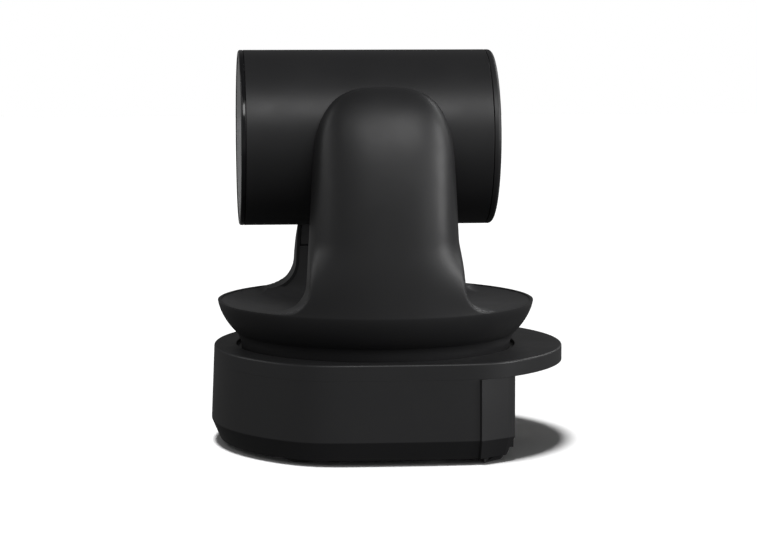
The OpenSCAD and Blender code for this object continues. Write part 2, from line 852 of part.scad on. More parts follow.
module yoke_chassis() {
    upright_end = upright_x + upright_t;
    color([0.62, 0.63, 0.65]) difference() {
        union() {
            box([-upright_end, -22, flange_z], [upright_end, 22, flange_z + upright_t]);
            for (sx = [-1, 1]) translate([sx * (upright_x + upright_t / 2), 0, 0])
                box([-upright_t / 2, -18, flange_z], [upright_t / 2, 18, 143]);
        }
        cylinder_from(hub_in, 0, 70);
        rod_x(10, -far, far, 0, tilt_z);
        for (a = [45:90:315]) rotate(a) translate([22.6, 0, 0]) cylinder_from(1.5, 0, 70);
        for (sx = [-1, 1]) rod_x(9, sx * (upright_x - 1), sx * (upright_end + 1), 0, 68);
    }
}

module drive_board() {
    color([0.08, 0.30, 0.18]) {
        box([-27, 24, 50], [27, 49, 50 + 1.4]);
        box([-14, 28, 51.4], [-6, 36, 52.6]);
        box([6, 28, 51.4], [14, 36, 52.6]);
        at_places([[-23, 28], [23, 28], [-23, 45], [23, 45]]) cylinder_from(1.8, bowl_floor, 50);
    }
}

module yoke_screws() {
    color([0.55, 0.56, 0.58]) for (a = [45:90:315]) rotate(a) translate([22.6, 0, 0]) difference() {
        union() {
            cylinder_from(2.8, flange_z + upright_t, flange_z + upright_t + 1.8);
            cylinder_from(1.2, neck_z + 0.4, flange_z + upright_t + 1);
        }
        rotate(20) box([-3, -0.3, flange_z + upright_t + 1], [3, 0.3, 70]);
    }
}

// ---- tilt drive ----

module tilt_motor() {
    face = tilt_belt_x + tilt_belt_w + 1.4;
    color([0.50, 0.51, 0.53]) difference() {
        union() {
            rod_x(tilt_motor_r, -face, -59, 0, tilt_motor_z);
            for (sy = [-1, 1]) rod_x(2, -upright_x - upright_t, -face - 1, sy * 10, tilt_motor_z - 5);
        }
        rod_x(spindle_r + run_gap, -face + 1, -face - 6, 0, tilt_motor_z);
    }
}

module tilt_motor_pulley() {
    color([0.80, 0.78, 0.70]) {
        translate([-tilt_belt_x - tilt_belt_w, 0, tilt_motor_z]) rotate([0, 90, 0])
            pulley(tilt_motor_pulley_r, tilt_belt_w, spindle_r, tilt_flange);
        rod_x(spindle_r, -tilt_belt_x + 0.9, -tilt_belt_x - tilt_belt_w - 6, 0, tilt_motor_z);
    }
}

module tilt_belt() {
    color([0.05, 0.05, 0.05])
        translate([-tilt_belt_x - tilt_belt_w + 0.2, 0, tilt_z]) rotate([0, 90, 0])
            belt(tilt_pulley_r, tilt_motor_pulley_r, tilt_span, tilt_belt_w - 0.4);
}

module tilt_pulley() {
    color([0.80, 0.78, 0.70])
        translate([-tilt_belt_x - tilt_belt_w, 0, tilt_z]) rotate([0, 90, 0])
            pulley(tilt_pulley_r, tilt_belt_w, shaft_r + shaft_gap, tilt_flange);
}

module tilt_bearings() {
    color([0.75, 0.76, 0.78]) both_arms() difference() {
        union() {
            rod_x(10, upright_x - 0.8, upright_x + upright_t + 0.4, 0, tilt_z);
            rod_x(11.4, upright_x - 0.8, upright_x, 0, tilt_z);
        }
        rod_x(shaft_r + run_gap, 0, far, 0, tilt_z);
    }
}

module tilt_shaft(x_end) {
    rod_x(shaft_r, boss_x - 8, x_end, 0, tilt_z);
    rod_x(9, boss_x, upright_x - 1.2, 0, tilt_z);
}

module tilt_shaft_left() {
    color([0.70, 0.71, 0.73]) mirror([1, 0, 0]) tilt_shaft(tilt_belt_x + tilt_belt_w + 1.8);
}

module tilt_shaft_right() {
    color([0.70, 0.71, 0.73]) difference() {
        union() {
            tilt_shaft(52);
            rod_x(8, 47, 48, 0, tilt_z);
            box([47, -16.8, tilt_z - 3], [48, 0, tilt_z + 3]);
        }
        rod_x(4.2, 0, far, 0, tilt_z);
    }
}

module tilt_sensor() {
    x0 = upright_x + upright_t;
    color([0.10, 0.10, 0.12]) difference() {
        box([x0, -24, tilt_z - 3], [x0 + 6, -14, tilt_z + 3]);
        box([46.3, -20, 0], [48.7, 0, far]);
    }
}

// ---- head ----

module head_barrel() {
    color([0.14, 0.14, 0.15]) difference() {
        union() {
            turned_head() polygon([
                [head_r - head_wall, -bezel_y], [head_r, -bezel_y],
                [head_r, cap_seam], [head_r - head_wall, cap_seam]
            ]);
            for (sx = [-1, 1]) rod_x(14, sx * 32, sx * boss_x, 0, tilt_z);
        }
        rod_x(shaft_r + shaft_gap, -far, far, 0, tilt_z);
    }
}

cap_round = 1.8;

module head_rear_cap() {
    inner = head_r - head_wall;
    round_z = head_back - cap_round;
    color([0.14, 0.14, 0.15]) turned_head() polygon(concat(
        [[0, head_back - 2.2], [inner - 2, head_back - 2.2], [inner - 2, cap_seam - 3]],
        [[inner - 0.1, cap_seam - 3], [inner - 0.1, cap_seam], [head_r, cap_seam]],
        [for (a = [0:15:90]) [head_r - cap_round + cap_round * cos(a), round_z + cap_round * sin(a)]],
        [[0, head_back]]
    ));
}

module front_bezel() {
    color([0.10, 0.10, 0.11]) turned_head() polygon([
        [glass_r - 1.6, -bezel_y + 0.6], [head_r - head_wall - 0.1, -bezel_y + 0.6],
        [head_r - head_wall - 0.1, -bezel_y], [head_r, -bezel_y],
        [head_r, 0.9 - head_front], [head_r - 0.9, -head_front], [glass_r + 0.1, -head_front],
        [glass_r + 0.1, -bezel_y - 0.4], [glass_r - 1.6, -bezel_y - 0.4]
    ]);
}

module front_glass() {
    color([0.15, 0.16, 0.20, 0.5]) rod_y(glass_r, 0.2 - head_front, -bezel_y - 0.4, 0, tilt_z);
}

module head_chassis() {
    color([0.62, 0.63, 0.65]) difference() {
        union() {
            box([-31, -26, tilt_z - 24.2], [31, 26, tilt_z - 22.2]);
            for (sx = [-1, 1]) translate([sx * 29, 0, 0]) box([-1, -12, tilt_z - 24.2], [1, 12, tilt_z + 12]);
        }
        rod_x(shaft_r + shaft_gap, -far, far, 0, tilt_z);
        turned_head() polygon([
            [head_r - head_wall - 0.2, -far], [far, -far], [far, far], [head_r - head_wall - 0.2, far]
        ]);
    }
}

module lens_block() {
    half = lens_block_half;
    color([0.16, 0.16, 0.18]) difference() {
        box([-half, -38, tilt_z - half], [half, 20, tilt_z + half]);
        rod_y(lens_bore_r, -40, 18, 0, tilt_z);
        rod_y(9, 17, 30, 0, tilt_z);
    }
}

module lens_barrel() {
    color([0.09, 0.09, 0.10]) turned_head() polygon([
        [22, -38], [27, -38], [29.5, -44], [31, -55.6], [28.6, -55.6], [26.6, -48], [24, -46], [22, -44]
    ]);
}

module front_lens() {
    color([0.25, 0.22, 0.40, 0.5]) turned_head() polygon(concat(
        [[0, -41.5], [21.9, -41.5]],
        [for (i = [0:6]) let (r = 21.9 * (1 - i / 6)) [r, -43.8 - 5.2 * (1 - pow(r / 21.9, 2))]]
    ));
}

module guide_rods() {
    color([0.80, 0.81, 0.83]) for (sx = [-1, 1]) rod_y(rod_r, -37, 18, sx * rod_at, tilt_z);
}

// A lens group with a guide ear on each side; its drive tab points to the side of "tab"
module lens_group(y0, y1, tab) {
    difference() {
        union() {
            rod_y(lens_cell_r, y0, y1, 0, tilt_z);
            box([-17.2, y0, tilt_z - 2.2], [17.2, y1, tilt_z + 2.2]);
            box([-2, y0, tilt_z + min(0, tab)], [2, y1, tilt_z + max(0, tab)]);
        }
        for (sx = [-1, 1]) rod_y(rod_r + run_gap, -far / 2, far / 2, sx * rod_at, tilt_z);
        rod_y(lens_cell_r - 2, y0 - 1, y0 + 1.4, 0, tilt_z);
        rod_y(lens_cell_r - 2, y1 - 1.4, y1 + 1, 0, tilt_z);
    }
}

module zoom_group() {
    color([0.20, 0.20, 0.26]) lens_group(zoom_y, zoom_y + 7, -16.2);
}

module focus_group() {
    color([0.20, 0.20, 0.26]) lens_group(focus_y, focus_y + 6, 16.2);
}

module lens_drives() {
    color([0.55, 0.35, 0.20]) intersection() {
        union() {
            box([-4, -32, tilt_z - 19], [4, -2, tilt_z - 16.6]);
            box([-4, -6, tilt_z + 16.6], [4, 16, tilt_z + 19]);
        }
        rod_y(lens_bore_r - shaft_gap, -40, 18, 0, tilt_z);
    }
}

module sensor_board() {
    color([0.08, 0.30, 0.18]) {
        box([-17, 20, tilt_z - 17], [17, 21.4, tilt_z + 17]);
        box([-5.5, 18.4, tilt_z - 4.5], [5.5, 20, tilt_z + 4.5]);
    }
}

module video_board() {
    color([0.08, 0.30, 0.18]) {
        box([-23, 33, tilt_z - 19], [23, 34.4, tilt_z + 19]);
        box([-9, 34.4, tilt_z - 9], [9, 36, tilt_z + 9]);
        for (sx = [-1, 1], sz = [-1, 1])
            rod_y(1.8, 21.4, 33, sx * 14, tilt_z + sz * 14);
    }
}

base_wall();
base_top_cover();
bottom_plate();
tripod_insert();
rubber_feet();
base_screws();
rear_panel();
main_board();
io_board();
dc_jack();
lan_port();
usb_port();
hdmi_port();
sdi_connector();
serial_ports();
rs485_terminal();
audio_jack();
address_dial();
ir_window();
dip_block();
dip_slider_1();
dip_slider_2();
pan_bearing();
pan_motor();
pan_motor_bracket();
pan_motor_pulley();
pan_belt();
pan_sensor();
yoke_shell();
saucer_cover();
arm_cover_left();
arm_cover_right();
yoke_chassis();
pan_hub();
pan_pulley();
drive_board();
yoke_screws();
tilt_motor();
tilt_motor_pulley();
tilt_belt();
tilt_bearings();
tilt_sensor();
head_barrel();
head_rear_cap();
front_bezel();
front_glass();
tilt_shaft_left();
tilt_shaft_right();
tilt_pulley();
head_chassis();
lens_block();
lens_barrel();
front_lens();
guide_rods();
zoom_group();
focus_group();
lens_drives();
sensor_board();
video_board();
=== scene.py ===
"""Looks for the pan-tilt-zoom conference camera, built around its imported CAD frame.

Lengths inside the helpers are in millimetres, in the CAD frame: lens towards -Y, +Z up, pan axis at X = Y = 0.
"""
import json
import math

import bpy
import numpy as np
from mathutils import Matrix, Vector


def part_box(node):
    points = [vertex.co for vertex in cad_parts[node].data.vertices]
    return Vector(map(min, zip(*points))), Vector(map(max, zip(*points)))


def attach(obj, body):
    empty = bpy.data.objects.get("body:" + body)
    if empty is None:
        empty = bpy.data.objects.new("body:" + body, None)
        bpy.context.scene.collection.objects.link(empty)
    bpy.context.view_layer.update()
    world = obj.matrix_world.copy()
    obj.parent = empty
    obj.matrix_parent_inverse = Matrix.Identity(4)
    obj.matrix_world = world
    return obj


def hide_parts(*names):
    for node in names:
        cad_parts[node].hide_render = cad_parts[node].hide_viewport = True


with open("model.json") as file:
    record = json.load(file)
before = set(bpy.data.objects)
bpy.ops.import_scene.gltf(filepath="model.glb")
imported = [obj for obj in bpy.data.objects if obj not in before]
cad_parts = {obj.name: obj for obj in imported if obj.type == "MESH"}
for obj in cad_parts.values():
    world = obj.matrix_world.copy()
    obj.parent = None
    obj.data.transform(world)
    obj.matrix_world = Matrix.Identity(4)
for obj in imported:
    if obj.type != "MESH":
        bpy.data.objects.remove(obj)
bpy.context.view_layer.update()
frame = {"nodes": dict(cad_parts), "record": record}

MM = 0.001


def span(node):
    """(lowest corner, highest corner) of a CAD node in millimetres."""
    low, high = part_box(node)
    return np.array(low) / MM, np.array(high) / MM


# ---- driving dimensions, read from the frame ----

SHELL_LOW, SHELL_HIGH = span("yoke_shell")
COVER_LOW, COVER_HIGH = span("base_top_cover")
WALL_LOW, WALL_HIGH = span("base_wall")
CAP_LOW, CAP_HIGH = span("head_rear_cap")
BEZEL_LOW = span("front_bezel")[0]
GLASS_LOW, GLASS_HIGH = span("front_glass")
BARREL_LOW, BARREL_HIGH = span("head_barrel")

SAUCER_R = SHELL_HIGH[1]
NECK_Z = SHELL_LOW[2]
ARM_TOP = SHELL_HIGH[2]
NECK_R = 59.2
BOWL_FLOOR = NECK_Z + 2.5
SAUCER_Z = 61.0
ARM_IN = 39.6
ARM_HALF = 32.0
ARM_LEAN = 0.053
ARM_ROUND_Z = 118.0
ARM_ROUND_N = 3.0
ARM_OVAL_N = 2.6
ARM_FRONT_N = 2.2
FOOT_R = 12.0
SKIN_T = 1.4

HEAD_R = (CAP_HIGH[2] - CAP_LOW[2]) / 2
TILT_Z = (CAP_HIGH[2] + CAP_LOW[2]) / 2
HEAD_BACK = CAP_HIGH[1]
CAP_SEAM = BARREL_HIGH[1]
BEZEL_Y = BARREL_LOW[1]
HEAD_FRONT = BEZEL_LOW[1]
GLASS_R = (GLASS_HIGH[2] - GLASS_LOW[2]) / 2

PLATE_R = (COVER_HIGH[1] - COVER_LOW[1]) / 2
PLATE_Y = (COVER_HIGH[1] + COVER_LOW[1]) / 2
SIDE_HALF = COVER_HIGH[0]
COLLAR_Z = COVER_HIGH[2]
PLATE_TOP = COLLAR_Z - 1.5
PLATE_BOTTOM = WALL_HIGH[2]
NECK_FOOT = PLATE_TOP - 1.5
COLLAR_R = 60.0
BASE_Z = WALL_LOW[2]
FLARE_Z = BASE_Z + 8.0
FLARE_OUT = 1.3
FLARE_IN = 2.1
SEAM_Y = 37.8
REAR_HALF = 60.0
PANEL_Y = WALL_HIGH[1]
CHAMFER = 3.0
PANEL_EDGE = 54.9
SEAM_GAP = 0.12
BOWL_INSET = SKIN_T * 0.8


# ---- mesh helpers ----

def new_object(name, verts, faces, smooth=True):
    mesh = bpy.data.meshes.new(name)
    mesh.from_pydata([tuple(v) for v in np.asarray(verts) * MM], [], [tuple(f) for f in faces])
    mesh.validate()
    if smooth:
        mesh.polygons.foreach_set("use_smooth", [True] * len(mesh.polygons))
    mesh.update()
    obj = bpy.data.objects.new(name, mesh)
    bpy.context.scene.collection.objects.link(obj)
    return obj


def grid_faces(rows, cols, wrap=False, start=0, flip=False):
    """Quads over a rows x cols grid of vertices, closed across its columns if wrap."""
    faces = []
    for i in range(rows - 1):
        for j in range(cols if wrap else cols - 1):
            a = start + i * cols + j
            b = start + i * cols + (j + 1) % cols
            quad = (a, b, b + cols, a + cols)
            faces.append(quad[::-1] if flip else quad)
    return faces


def rounded(points, radii, steps=6):
    """A polyline with an arc of the given radius at each inner corner."""
    points = [np.array(p, float) for p in points]
    line = [points[0]]
    for before, corner, after, radius in zip(points, points[1:], points[2:], radii):
        if radius <= 0:
            line.append(corner)
            continue
        u = (before - corner) / np.linalg.norm(before - corner)
        v = (after - corner) / np.linalg.norm(after - corner)
        half = math.acos(float(np.clip(u @ v, -1, 1))) / 2
        reach = radius / math.tan(half)
        centre = corner + (u + v) / np.linalg.norm(u + v) * radius / math.sin(half)
        a = corner + u * reach - centre
        b = corner + v * reach - centre
        turn = math.atan2(a[0] * b[1] - a[1] * b[0], a @ b)
        for i in range(steps + 1):
            t = turn * i / steps
            line.append(centre + [a[0] * math.cos(t) - a[1] * math.sin(t), a[0] * math.sin(t) + a[1] * math.cos(t)])
    line.append(points[-1])
    return np.array(line)


def lathe(name, profile, axis, centre=(0, 0, 0), segments=192):
    """Turns (radius, along) points about an axis through centre. Ends at radius 0 are closed by one point."""
    profile = np.asarray(profile, float)
    verts, rings = [], []
    angles = np.arange(segments) * 2 * math.pi / segments
    for r, h in profile:
        ring = []
        if r < 1e-6:
            verts.append((0, 0, h))
            ring = [len(verts) - 1] * segments
        else:
            ring = list(range(len(verts), len(verts) + segments))
            verts += [(r * math.cos(a), r * math.sin(a), h) for a in angles]
        rings.append(ring)
    faces = []
    for low, high in zip(rings, rings[1:]):
        for j in range(segments):
            k = (j + 1) % segments
            face = list(dict.fromkeys((low[j], low[k], high[k], high[j])))
            if len(face) > 2:
                faces.append(face)
    verts = np.array(verts)
    if axis == "y":
        verts = verts[:, [0, 2, 1]] * [-1, 1, 1]
        faces = [f for f in faces]
    if axis == "x":
        verts = verts[:, [2, 0, 1]]
    return new_object(name, verts + np.array(centre), faces)


def closed_profile(points, radii, steps=6):
    """A closed section with each corner rounded by its own radius."""
    ring = [points[-1]] + list(points) + [points[0]]
    line = rounded(ring, radii, steps)[1:-1]
    return np.vstack([line, line[:1]])


def mark_edges(obj, angle=40):
    """Keeps the hard edges of a smooth-shaded mesh crisp."""
    for poly in obj.data.polygons:
        poly.use_smooth = True
    obj.data.set_sharp_from_angle(angle=math.radians(angle))
    weigh_normals(obj)


def weigh_normals(obj):
    """Shades broad faces flat and leaves the turn to the narrow ones beside them."""
    modifier = obj.modifiers.new("shading", "WEIGHTED_NORMAL")
    modifier.keep_sharp = True
    modifier.weight = 60


def bevel(obj, width, segments=2, angle=35):
    modifier = obj.modifiers.new("edge", "BEVEL")
    modifier.width = width * MM
    modifier.segments = segments
    modifier.limit_method = "ANGLE"
    modifier.angle_limit = math.radians(angle)
    modifier.harden_normals = False


def surface_net(name, field, low, high, step, passes=4):
    """The zero surface of field(points), negative inside.

    It is found on a grid of the given step, and its vertices are then drawn on to the surface.
    """
    axes = [np.arange(a, b + step, step) for a, b in zip(low, high)]
    grid = np.stack(np.meshgrid(*axes, indexing="ij"), -1)
    value = field(grid.reshape(-1, 3)).reshape(grid.shape[:3])
    inside = value < 0
    cells = tuple(n - 1 for n in value.shape)
    total = np.zeros(cells + (3,))
    count = np.zeros(cells)
    for axis in range(3):
        others = [a for a in range(3) if a != axis]
        first = [slice(None)] * 3
        second = [slice(None)] * 3
        first[axis], second[axis] = slice(0, -1), slice(1, None)
        a, b = value[tuple(first)], value[tuple(second)]
        cross = inside[tuple(first)] != inside[tuple(second)]
        share = np.where(cross, a / np.where(cross, a - b, 1), 0)
        point = grid[tuple(first)] + share[..., None] * (grid[tuple(second)] - grid[tuple(first)])
        for du in (0, 1):
            for dv in (0, 1):
                take = [slice(None)] * 3
                take[others[0]] = slice(du, du + cells[others[0]])
                take[others[1]] = slice(dv, dv + cells[others[1]])
                hit = cross[tuple(take)]
                total += np.where(hit[..., None], point[tuple(take)], 0)
                count += hit
    used = count > 0
    index = np.full(cells, -1)
    index[used] = np.arange(used.sum())
    verts = total[used] / count[used][:, None]
    faces = []
    for axis in range(3):
        u, v = [(1, 2), (2, 0), (0, 1)][axis]
        first = [slice(None)] * 3
        second = [slice(None)] * 3
        first[axis], second[axis] = slice(0, -1), slice(1, None)
        a, b = inside[tuple(first)], inside[tuple(second)]
        for here, order in ((a & ~b, 1), (~a & b, -1)):
            spots = np.argwhere(here)
            spots = spots[(spots[:, u] > 0) & (spots[:, v] > 0) & (spots[:, u] < cells[u]) & (spots[:, v] < cells[v])]
            corner = []
            for du, dv in ((-1, -1), (0, -1), (0, 0), (-1, 0)):
                cell = spots.copy()
                cell[:, u] += du
                cell[:, v] += dv
                corner.append(index[tuple(cell.T)])
            faces += np.stack(corner[::order], 1).tolist()
    nudge = 0.02
    for _ in range(passes):
        value = field(verts)
        slope = np.stack([(field(verts + nudge * e) - field(verts - nudge * e)) / (2 * nudge) for e in np.eye(3)], 1)
        size = np.maximum((slope ** 2).sum(1), 0.05)
        move = -(value / size)[:, None] * slope
        verts = verts + np.clip(move, -step / 2, step / 2)
    return new_object(name, verts, faces)


def smooth_min(a, b, reach):
    mix = np.clip(0.5 + 0.5 * (b - a) / reach, 0, 1)
    return b * (1 - mix) + a * mix - reach * mix * (1 - mix)


def smooth_max(a, b, reach):
    return -smooth_min(-a, -b, reach)


# ---- materials ----

def material(name, colour, roughness, metallic=0.0, grain=0.0, grain_size=0.3, cloud=0.12, tint=0.08,
             coat=0.0, coat_roughness=0.1, specular=0.5, brushed=None, transmission=0.0, ior=1.45):
    """A moulded or machined surface: fine bump, cloudy roughness and a slight change of tone.

    grain is the bump's height in millimetres, grain_size its pitch. brushed stretches it along that axis.
    """
    mat = bpy.data.materials.new(name)
    mat.use_nodes = True
    nodes, links = mat.node_tree.nodes, mat.node_tree.links
    shader = nodes["Principled BSDF"]
    shader.inputs["Metallic"].default_value = metallic
    shader.inputs["Specular IOR Level"].default_value = specular
    shader.inputs["IOR"].default_value = ior
    shader.inputs["Coat Weight"].default_value = coat
    shader.inputs["Coat Roughness"].default_value = coat_roughness
    shader.inputs["Transmission Weight"].default_value = transmission
    place = nodes.new("ShaderNodeTexCoord")
    stretch = nodes.new("ShaderNodeMapping")
    if brushed:
        stretch.inputs["Scale"].default_value = [0.02 if axis == brushed else 1.0 for axis in "xyz"]
    links.new(place.outputs["Object"], stretch.inputs["Vector"])

    fine = nodes.new("ShaderNodeTexNoise")
    fine.inputs["Scale"].default_value = 1 / (grain_size * MM)
    fine.inputs["Detail"].default_value = 3
    links.new(stretch.outputs["Vector"], fine.inputs["Vector"])
    broad = nodes.new("ShaderNodeTexNoise")
    broad.inputs["Scale"].default_value = 45
    broad.inputs["Detail"].default_value = 5
    broad.inputs["Roughness"].default_value = 0.62
    links.new(place.outputs["Object"], broad.inputs["Vector"])

    worn = nodes.new("ShaderNodeMapRange")
    worn.inputs["From Min"].default_value = 0.3
    worn.inputs["From Max"].default_value = 0.7
    worn.inputs["To Min"].default_value = roughness * (1 - cloud)
    worn.inputs["To Max"].default_value = roughness * (1 + cloud)
    links.new(broad.outputs["Fac"], worn.inputs["Value"])
    links.new(worn.outputs["Result"], shader.inputs["Roughness"])

    tone = nodes.new("ShaderNodeMix")
    tone.data_type = "RGBA"
    dark = [c * (1 - tint) for c in colour]
    light = [min(1, c * (1 + tint)) for c in colour]
    tone.inputs["A"].default_value = (*dark, 1)
    tone.inputs["B"].default_value = (*light, 1)
    links.new(fine.outputs["Fac"], tone.inputs["Factor"])
    links.new(tone.outputs["Result"], shader.inputs["Base Color"])

    if grain:
        bump = nodes.new("ShaderNodeBump")
        bump.inputs["Distance"].default_value = grain * MM
        bump.inputs["Strength"].default_value = 1.0
        links.new(fine.outputs["Fac"], bump.inputs["Height"])
        links.new(bump.outputs["Normal"], shader.inputs["Normal"])
    return mat


MATERIALS = {
    "shell_black": material("shell_black", (0.020, 0.020, 0.021), 0.42, grain=0.012, grain_size=0.35),
    # Painted light: the covers are separate pieces in their own black, but this colour is set three times lighter
    # than the shell's to paint in light that the lamps don't bring to the far arm's inner face and the dish.
    "cover_black": material("cover_black", (0.060, 0.060, 0.062), 0.50, grain=0.018, grain_size=0.4),
    "panel_black": material("panel_black", (0.014, 0.014, 0.015), 0.55, grain=0.02, grain_size=0.4),
    "bezel_gloss": material("bezel_gloss", (0.008, 0.008, 0.009), 0.12, cloud=0.3, grain=0.001, grain_size=2),
    "lens_black": material("lens_black", (0.022, 0.022, 0.024), 0.45, grain=0.02, grain_size=0.3),
    "window_red": material("window_red", (0.030, 0.003, 0.006), 0.10, cloud=0.3, coat=0.5, grain=0.001, grain_size=2),
    "steel_plate": material("steel_plate", (0.028, 0.028, 0.030), 0.48, grain=0.04, grain_size=0.6),
    "zinc_sheet": material("zinc_sheet", (0.58, 0.59, 0.60), 0.34, metallic=1, grain=0.004, grain_size=0.5,
                           tint=0.14),
    "screw_steel": material("screw_steel", (0.56, 0.56, 0.57), 0.28, metallic=1, grain=0.003, grain_size=0.2),
    "motor_metal": material("motor_metal", (0.46, 0.46, 0.47), 0.36, metallic=1, grain=0.004, grain_size=0.3,
                            brushed="z"),
    "pulley_metal": material("pulley_metal", (0.70, 0.70, 0.72), 0.30, metallic=1, grain=0.003, grain_size=0.15),
    "socket_metal": material("socket_metal", (0.62, 0.61, 0.58), 0.24, metallic=1, grain=0.003, grain_size=0.4,
                             cloud=0.3),
    "socket_black": material("socket_black", (0.012, 0.012, 0.012), 0.48, grain=0.02, grain_size=0.3),
    "brass": material("brass", (0.66, 0.50, 0.22), 0.30, metallic=1, grain=0.004, grain_size=0.2),
    "rubber": material("rubber", (0.016, 0.016, 0.016), 0.78, grain=0.04, grain_size=0.5),
    "belt_black": material("belt_black", (0.015, 0.015, 0.015), 0.62, grain=0.03, grain_size=0.4),
    "circuit_board": material("circuit_board", (0.010, 0.11, 0.05), 0.32, coat=0.4, grain=0.02, grain_size=0.8,
                              tint=0.3),
    "terminal_green": material("terminal_green", (0.04, 0.26, 0.09), 0.42, grain=0.01, grain_size=0.4),
    "dial_cream": material("dial_cream", (0.68, 0.63, 0.52), 0.45, grain=0.01, grain_size=0.4),
    "switch_red": material("switch_red", (0.42, 0.03, 0.03), 0.40, grain=0.01, grain_size=0.4),
    "slider_white": material("slider_white", (0.80, 0.80, 0.78), 0.42, grain=0.01, grain_size=0.3),
    "front_glass": material("front_glass", (0.78, 0.79, 0.82), 0.02, cloud=0.3, transmission=1.0, ior=1.3),
    "lens_glass": material("lens_glass", (0.55, 0.50, 0.72), 0.03, cloud=0.5, transmission=0.8, ior=1.6,
                           coat=0.6),
}


def dress(obj, slot_name):
    obj.data.materials.clear()
    obj.data.materials.append(MATERIALS[slot_name])


def piece(obj, body, slot_name, *replaced):
    """Gives a new piece its material and its body, and hides the CAD nodes it stands for."""
    dress(obj, slot_name)
    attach(obj, body)
    if replaced:
        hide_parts(*replaced)
    return obj


CRISP_NODES = ("rear_panel", "dc_jack", "lan_port", "usb_port", "hdmi_port", "rs485_terminal", "bottom_plate",
               "lens_barrel", "dip_block", "address_dial", "ir_window")


def dress_cad_nodes():
    for entry in frame["record"]["subparts"]:
        obj = frame["nodes"][entry["node"]]
        dress(obj, entry["material_slot"])
        if entry["node"] in CRISP_NODES:
            bevel(obj, 0.15, 2, angle=40)


# ---- yoke ----

def cubic(ctrl, t):
    p = [np.array(c) for c in ctrl]
    return (1 - t) ** 3 * p[0] + 3 * (1 - t) ** 2 * t * p[1] + 3 * (1 - t) * t ** 2 * p[2] + t ** 3 * p[3]


BOWL_CTRL = [(NECK_R + 0.4, BOWL_FLOOR + 0.5), (62.8, 49.6), (SAUCER_R - 0.95, 55.2), (SAUCER_R, SAUCER_Z - 0.2)]


def arm_side(z):
    return ARM_HALF - ARM_LEAN * (z - SAUCER_Z - FOOT_R - 2)


BOWL_LINE = np.array([cubic(BOWL_CTRL, t) for t in np.linspace(0, 1, 27)])
PLAN_BLEND = 30.0
CORNER_R = 3.2


def bowl_radius(z):
    return np.interp(z, BOWL_LINE[:, 1], BOWL_LINE[:, 0])


def arm_reach(z):
    """How far an arm's outermost face lies from the centre line at height z."""
    t = np.clip((z - SAUCER_Z) / (ARM_TOP - SAUCER_Z), 0, 1)
    return ARM_IN + (SAUCER_R - ARM_IN) * (1 - t ** ARM_FRONT_N) ** (1 / ARM_FRONT_N)


def arm_half_at(z):
    """An arm's half width at height z, foot fillet and rounded top included."""
    foot = SAUCER_Z + FOOT_R
    low = np.clip(z, SAUCER_Z, foot)
    fillet = arm_side(foot) + FOOT_R - np.sqrt(np.maximum(FOOT_R ** 2 - (foot - low) ** 2, 0))
    t = np.clip((z - ARM_ROUND_Z) / (ARM_TOP - ARM_ROUND_Z), 0, 1)
    return np.where(z < foot, fillet, arm_side(z) * (1 - t ** ARM_ROUND_N) ** (1 / ARM_ROUND_N))


def rise(z):
    """0 at the rim, 1 where an arm has its full D-shaped section."""
    t = np.clip((z - SAUCER_Z) / PLAN_BLEND, 0, 1)
    return t * t * (3 - 2 * t)


def front_x(y, z):
    """X of the outer face at (y, z): the bowl's circle at the rim, a half oval higher up."""
    share = rise(z)
    wide = arm_half_at(z) + (1 - share) * FOOT_R
    on_circle = np.sqrt(np.maximum(SAUCER_R ** 2 - y ** 2, 0))
    u = np.clip(np.abs(y) / np.maximum(wide, 1e-6), 0, 1)
    on_arm = ARM_IN + (arm_reach(z) - ARM_IN) * (1 - u ** ARM_OVAL_N) ** (1 / ARM_OVAL_N)
    return (1 - share) * on_circle + share * on_arm


def arm_section(angles, z):
    """Distances from (ARM_IN, 0) out to an arm's skin along each angle, for each height in z."""
    a, z = np.meshgrid(angles, z)
    half = arm_half_at(z)
    corner = 0.3 + (CORNER_R - 0.3) * rise(z)
    corner = np.minimum(corner, 0.5 * half + 1e-3)
    low, high = np.zeros(a.shape), np.full(a.shape, 70.0)
    for _ in range(34):
        mid = (low + high) / 2
        y = mid * np.abs(np.sin(a))
        outside = smooth_max(ARM_IN + mid * np.cos(a) - front_x(y, z), y - half, corner) > 0
        high = np.where(outside, mid, high)
        low = np.where(outside, low, mid)
    return (low + high) / 2


def rim_reach(angle):
    """Distance from (ARM_IN, 0) to the rim's circle along an angle."""
    b = ARM_IN * math.cos(angle)
    return -b + math.sqrt(b * b + SAUCER_R ** 2 - ARM_IN ** 2)


